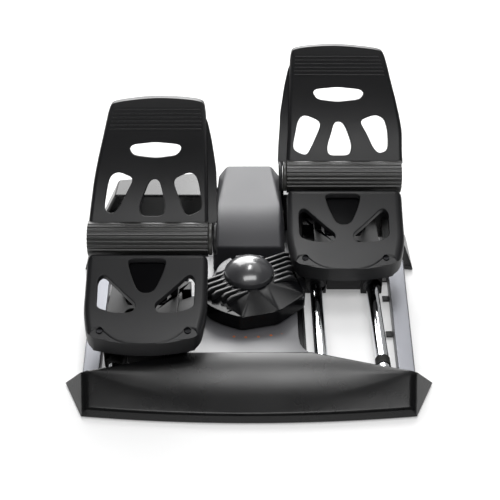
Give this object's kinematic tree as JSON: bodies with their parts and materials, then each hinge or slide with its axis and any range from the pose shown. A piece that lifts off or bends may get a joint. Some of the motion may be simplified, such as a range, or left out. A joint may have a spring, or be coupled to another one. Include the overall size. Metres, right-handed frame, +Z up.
{
  "type": "flight simulator rudder pedals",
  "caption": "Floor-standing rudder pedal set: two toe-brake pedals slide on rails between a front and a rear bar and are linked by a central rotor.",
  "frame": {"origin": "on the floor under the rotor axle, at the middle of the base", "axes": "+X to the user's right, +Y away from the user, +Z up"},
  "size_m": [0.386, 0.376, 0.236],
  "materials": {
    "charcoal_abs": "fine textured injection-moulded ABS",
    "pedal_nylon": "fine textured glass-filled nylon",
    "black_abs": "textured moulded ABS",
    "spine_silver": "satin painted ABS",
    "side_aluminium": "satin anodised extrusion",
    "rail_steel": "hard-chromed ground steel",
    "zinc_steel": "zinc-plated turned steel",
    "dome_gloss": "satin moulded dome",
    "pom": "turned acetal",
    "rubber": "moulded rubber",
    "board": "solder-masked circuit board"
  },
  "bodies": {
    "base": {"front_bar": "charcoal_abs", "front_plate": "black_abs", "rear_bar": "charcoal_abs", "rear_wing_left": "charcoal_abs", "rear_wing_right": "charcoal_abs", "rear_plate": "black_abs", "centre_tray": "black_abs", "centre_deck": "charcoal_abs", "spine_cover": "spine_silver", "side_panel_left": "side_aluminium", "side_panel_right": "side_aluminium", "rail_left_outer": "rail_steel", "rail_left_inner": "rail_steel", "rail_right_inner": "rail_steel", "rail_right_outer": "rail_steel", "front_saddles": "black_abs", "rear_sockets": "black_abs", "rubber_feet": "rubber", "base_screws": "zinc_steel", "front_buffers": "rubber", "rear_buffers": "rubber", "rotor_bush": "pom", "rudder_sensor": "board", "control_board": "board", "cable_gland": "rubber"},
    "rotor": {"friction_washer": "pom", "rotor_arm": "black_abs", "rotor_cover": "charcoal_abs", "collar_ring": "charcoal_abs", "dome_cap": "dome_gloss", "rotor_axle": "zinc_steel", "rotor_nut": "zinc_steel", "rotor_pins": "zinc_steel", "rotor_rollers": "pom"},
    "slide_left": {"carriage_left": "black_abs", "slide_bushes_left": "pom", "bracket_left": "black_abs", "heel_plate_left": "pedal_nylon", "heel_screws_left": "zinc_steel", "hinge_axle_left": "zinc_steel", "axle_rings_left": "zinc_steel", "brake_sensor_left": "black_abs", "toe_spring_left": "zinc_steel"},
    "toe_left": {"toe_pad_left": "pedal_nylon", "toe_bushes_left": "pom"},
    "slide_right": {"carriage_right": "black_abs", "slide_bushes_right": "pom", "bracket_right": "black_abs", "heel_plate_right": "pedal_nylon", "heel_screws_right": "zinc_steel", "hinge_axle_right": "zinc_steel", "axle_rings_right": "zinc_steel", "brake_sensor_right": "black_abs", "toe_spring_right": "zinc_steel"},
    "toe_right": {"toe_pad_right": "pedal_nylon", "toe_bushes_right": "pom"}
  },
  "joints": [
    {"name": "rudder_right", "type": "slide", "parent": "base", "child": "slide_right", "axis": [0, 1, 0], "range_m": [-0.125, 0]},
    {"name": "rudder_left", "type": "slide", "parent": "base", "child": "slide_left", "axis": [0, 1, 0], "range_m": [0, 0.125]},
    {"name": "rotor_turn", "type": "hinge", "parent": "base", "child": "rotor", "pos_m": [0, 0, 0.03], "axis": [0, 0, 1], "range_deg": [-60.4, 0]},
    {"name": "toe_brake_left", "type": "hinge", "parent": "slide_left", "child": "toe_left", "pos_m": [-0.1075, -0.0095, 0.1], "axis": [-1, 0, 0], "range_deg": [0, 18], "stiffness_Nm_per_rad": 4, "springref_deg": -8.59, "deforming": ["toe_spring_left"]},
    {"name": "toe_brake_right", "type": "hinge", "parent": "slide_right", "child": "toe_right", "pos_m": [0.1075, 0.1155, 0.1], "axis": [-1, 0, 0], "range_deg": [0, 18], "stiffness_Nm_per_rad": 4, "springref_deg": -8.59, "deforming": ["toe_spring_right"]}
  ],
  "couplings": [
    {"joint": "rudder_left", "follows": "rudder_right", "ratio": -1},
    {"joint": "rotor_turn", "follows": "rudder_right", "rad_per_m": 8.4261}
  ]
}
